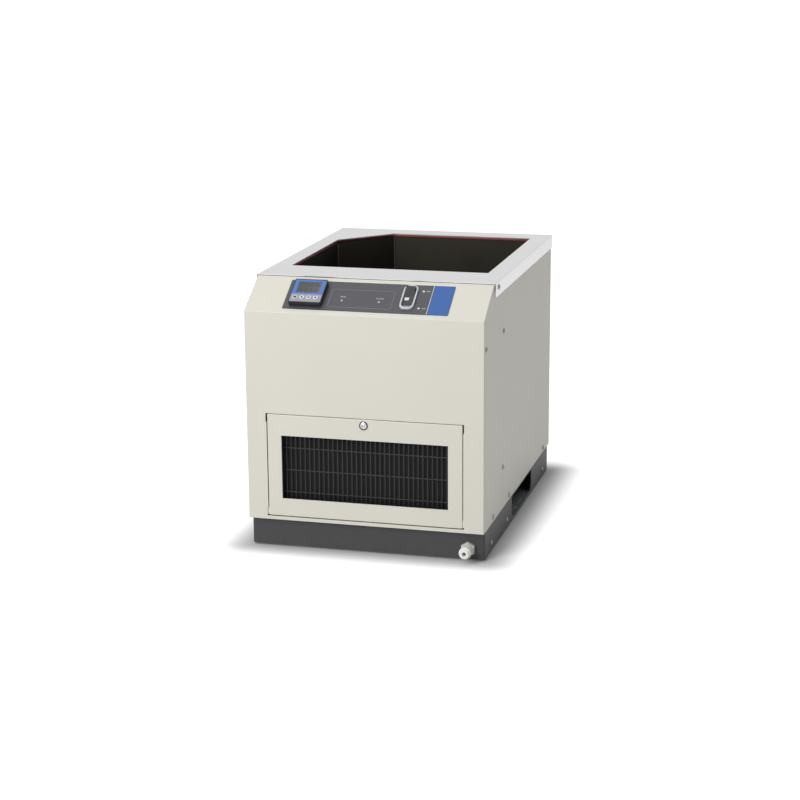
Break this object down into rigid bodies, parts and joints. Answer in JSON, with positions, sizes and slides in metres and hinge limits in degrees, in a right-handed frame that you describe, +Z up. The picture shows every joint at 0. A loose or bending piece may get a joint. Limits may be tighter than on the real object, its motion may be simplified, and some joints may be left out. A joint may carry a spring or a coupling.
{
  "type": "peltier thermostatic bath",
  "caption": "Bench-top thermoelectric water bath: sheet-metal cabinet with a bevelled control strip, five-sided bath opening, tilting filter door and push-in drain.",
  "frame": {"origin": "on the table under the centre of the whole bath", "axes": "-Y towards the front of the bath, +Y towards its back, +Z up"},
  "size_m": [0.3574, 0.522, 0.393],
  "materials": {
    "beige_paint": "satin powder coat",
    "dark_paint": "satin dark grey",
    "stainless": "brushed",
    "tank_steel": "dull",
    "galvanised": "plain sheet",
    "overlay": "satin film",
    "black_plastic": "satin",
    "controller_blue": "satin",
    "display_glass": "glossy dark",
    "button_white": "satin",
    "lamp_green": "glossy",
    "lamp_red": "glossy",
    "silver_plastic": "satin silver",
    "white_plastic": "satin",
    "grey_plastic": "satin",
    "red_silicone": "satin",
    "black_rubber": "matte",
    "foam": "closed-cell",
    "clear_hose": "translucent",
    "aluminium": "plain",
    "grey_wire": "satin",
    "filter_mesh": "open foam",
    "bright_metal": "bright",
    "ceramic": "plain",
    "board_green": "satin"
  },
  "bodies": {
    "cabinet": {"base_skirt": "dark_paint", "bottom_plate": "galvanised", "rubber_feet": "black_rubber", "deck_plate": "galvanised", "front_panel": "beige_paint", "side_panel_left": "beige_paint", "side_panel_right": "beige_paint", "rear_panel": "beige_paint", "top_plate": "stainless", "tank_gasket": "red_silicone", "tank": "tank_steel", "tank_insulation": "foam", "left_upright": "galvanised", "right_upright": "galvanised", "equipment_shelf": "galvanised", "panel_overlay": "overlay", "controller_case": "black_plastic", "controller_face": "controller_blue", "controller_display": "display_glass", "controller_clamp": "black_plastic", "run_lamp": "lamp_green", "alarm_lamp": "lamp_red", "switch_bezel": "silver_plastic", "latch_receptacle": "bright_metal", "cold_plate": "aluminium", "temperature_sensor": "bright_metal", "peltier_modules": "ceramic", "heat_sink": "aluminium", "fan_bracket": "galvanised", "fan_frames": "black_plastic", "pump_bracket": "galvanised", "pump_motor": "aluminium", "pump_head": "black_plastic", "suction_hose": "clear_hose", "return_hose": "clear_hose", "drain_hose": "clear_hose", "drain_elbow": "white_plastic", "drain_nut": "grey_plastic", "drain_body": "white_plastic", "power_supply": "aluminium", "control_board": "board_green", "terminal_block": "grey_plastic", "power_inlet": "black_plastic", "panel_screws": "bright_metal", "base_screws": "bright_metal"},
    "door": {"grille_door": "beige_paint", "filter_guard": "grey_wire", "air_filter": "filter_mesh", "filter_retainer": "galvanised"},
    "latch": {"door_latch": "bright_metal"},
    "rocker": {"switch_rocker": "black_plastic"},
    "button_1": {"button_1": "button_white"},
    "button_2": {"button_2": "button_white"},
    "button_3": {"button_3": "button_white"},
    "button_4": {"button_4": "button_white"},
    "fan_left": {"fan_rotor_left": "black_plastic"},
    "fan_right": {"fan_rotor_right": "black_plastic"},
    "impeller": {"pump_impeller": "grey_plastic"},
    "collet": {"drain_collet": "white_plastic"}
  },
  "joints": [
    {"name": "door_tilt", "type": "hinge", "parent": "cabinet", "child": "door", "pos_m": [0, -0.2435, 0.0623], "axis": [1, 0, 0], "range_deg": [0, 45]},
    {"name": "latch_turn", "type": "hinge", "parent": "door", "child": "latch", "pos_m": [0, -0.245, 0.1933], "axis": [0, 1, 0], "range_deg": [0, 90]},
    {"name": "switch_rock", "type": "hinge", "parent": "cabinet", "child": "rocker", "pos_m": [0.0593, -0.21129, 0.374], "axis": [-1, 0, 0], "range_deg": [0, 20]},
    {"name": "button_1_press", "type": "slide", "parent": "cabinet", "child": "button_1", "axis": [0, 0.5241, -0.8517], "range_m": [0, 0.0005], "stiffness_N_per_m": 300},
    {"name": "button_2_press", "type": "slide", "parent": "cabinet", "child": "button_2", "axis": [0, 0.5241, -0.8517], "range_m": [0, 0.0005], "stiffness_N_per_m": 300},
    {"name": "button_3_press", "type": "slide", "parent": "cabinet", "child": "button_3", "axis": [0, 0.5241, -0.8517], "range_m": [0, 0.0005], "stiffness_N_per_m": 300},
    {"name": "button_4_press", "type": "slide", "parent": "cabinet", "child": "button_4", "axis": [0, 0.5241, -0.8517], "range_m": [0, 0.0005], "stiffness_N_per_m": 300},
    {"name": "fan_left_spin", "type": "hinge", "parent": "cabinet", "child": "fan_left", "pos_m": [-0.065, -0.17, 0.10875], "axis": [0, 1, 0], "continuous": true},
    {"name": "fan_right_spin", "type": "hinge", "parent": "cabinet", "child": "fan_right", "pos_m": [0.065, -0.17, 0.10875], "axis": [0, 1, 0], "continuous": true},
    {"name": "impeller_spin", "type": "hinge", "parent": "cabinet", "child": "impeller", "pos_m": [0.112, 0.18, 0.13], "axis": [0, 0, 1], "continuous": true},
    {"name": "collet_push", "type": "slide", "parent": "cabinet", "child": "collet", "axis": [0, 1, 0], "range_m": [0, 0.0012], "stiffness_N_per_m": 400}
  ]
}
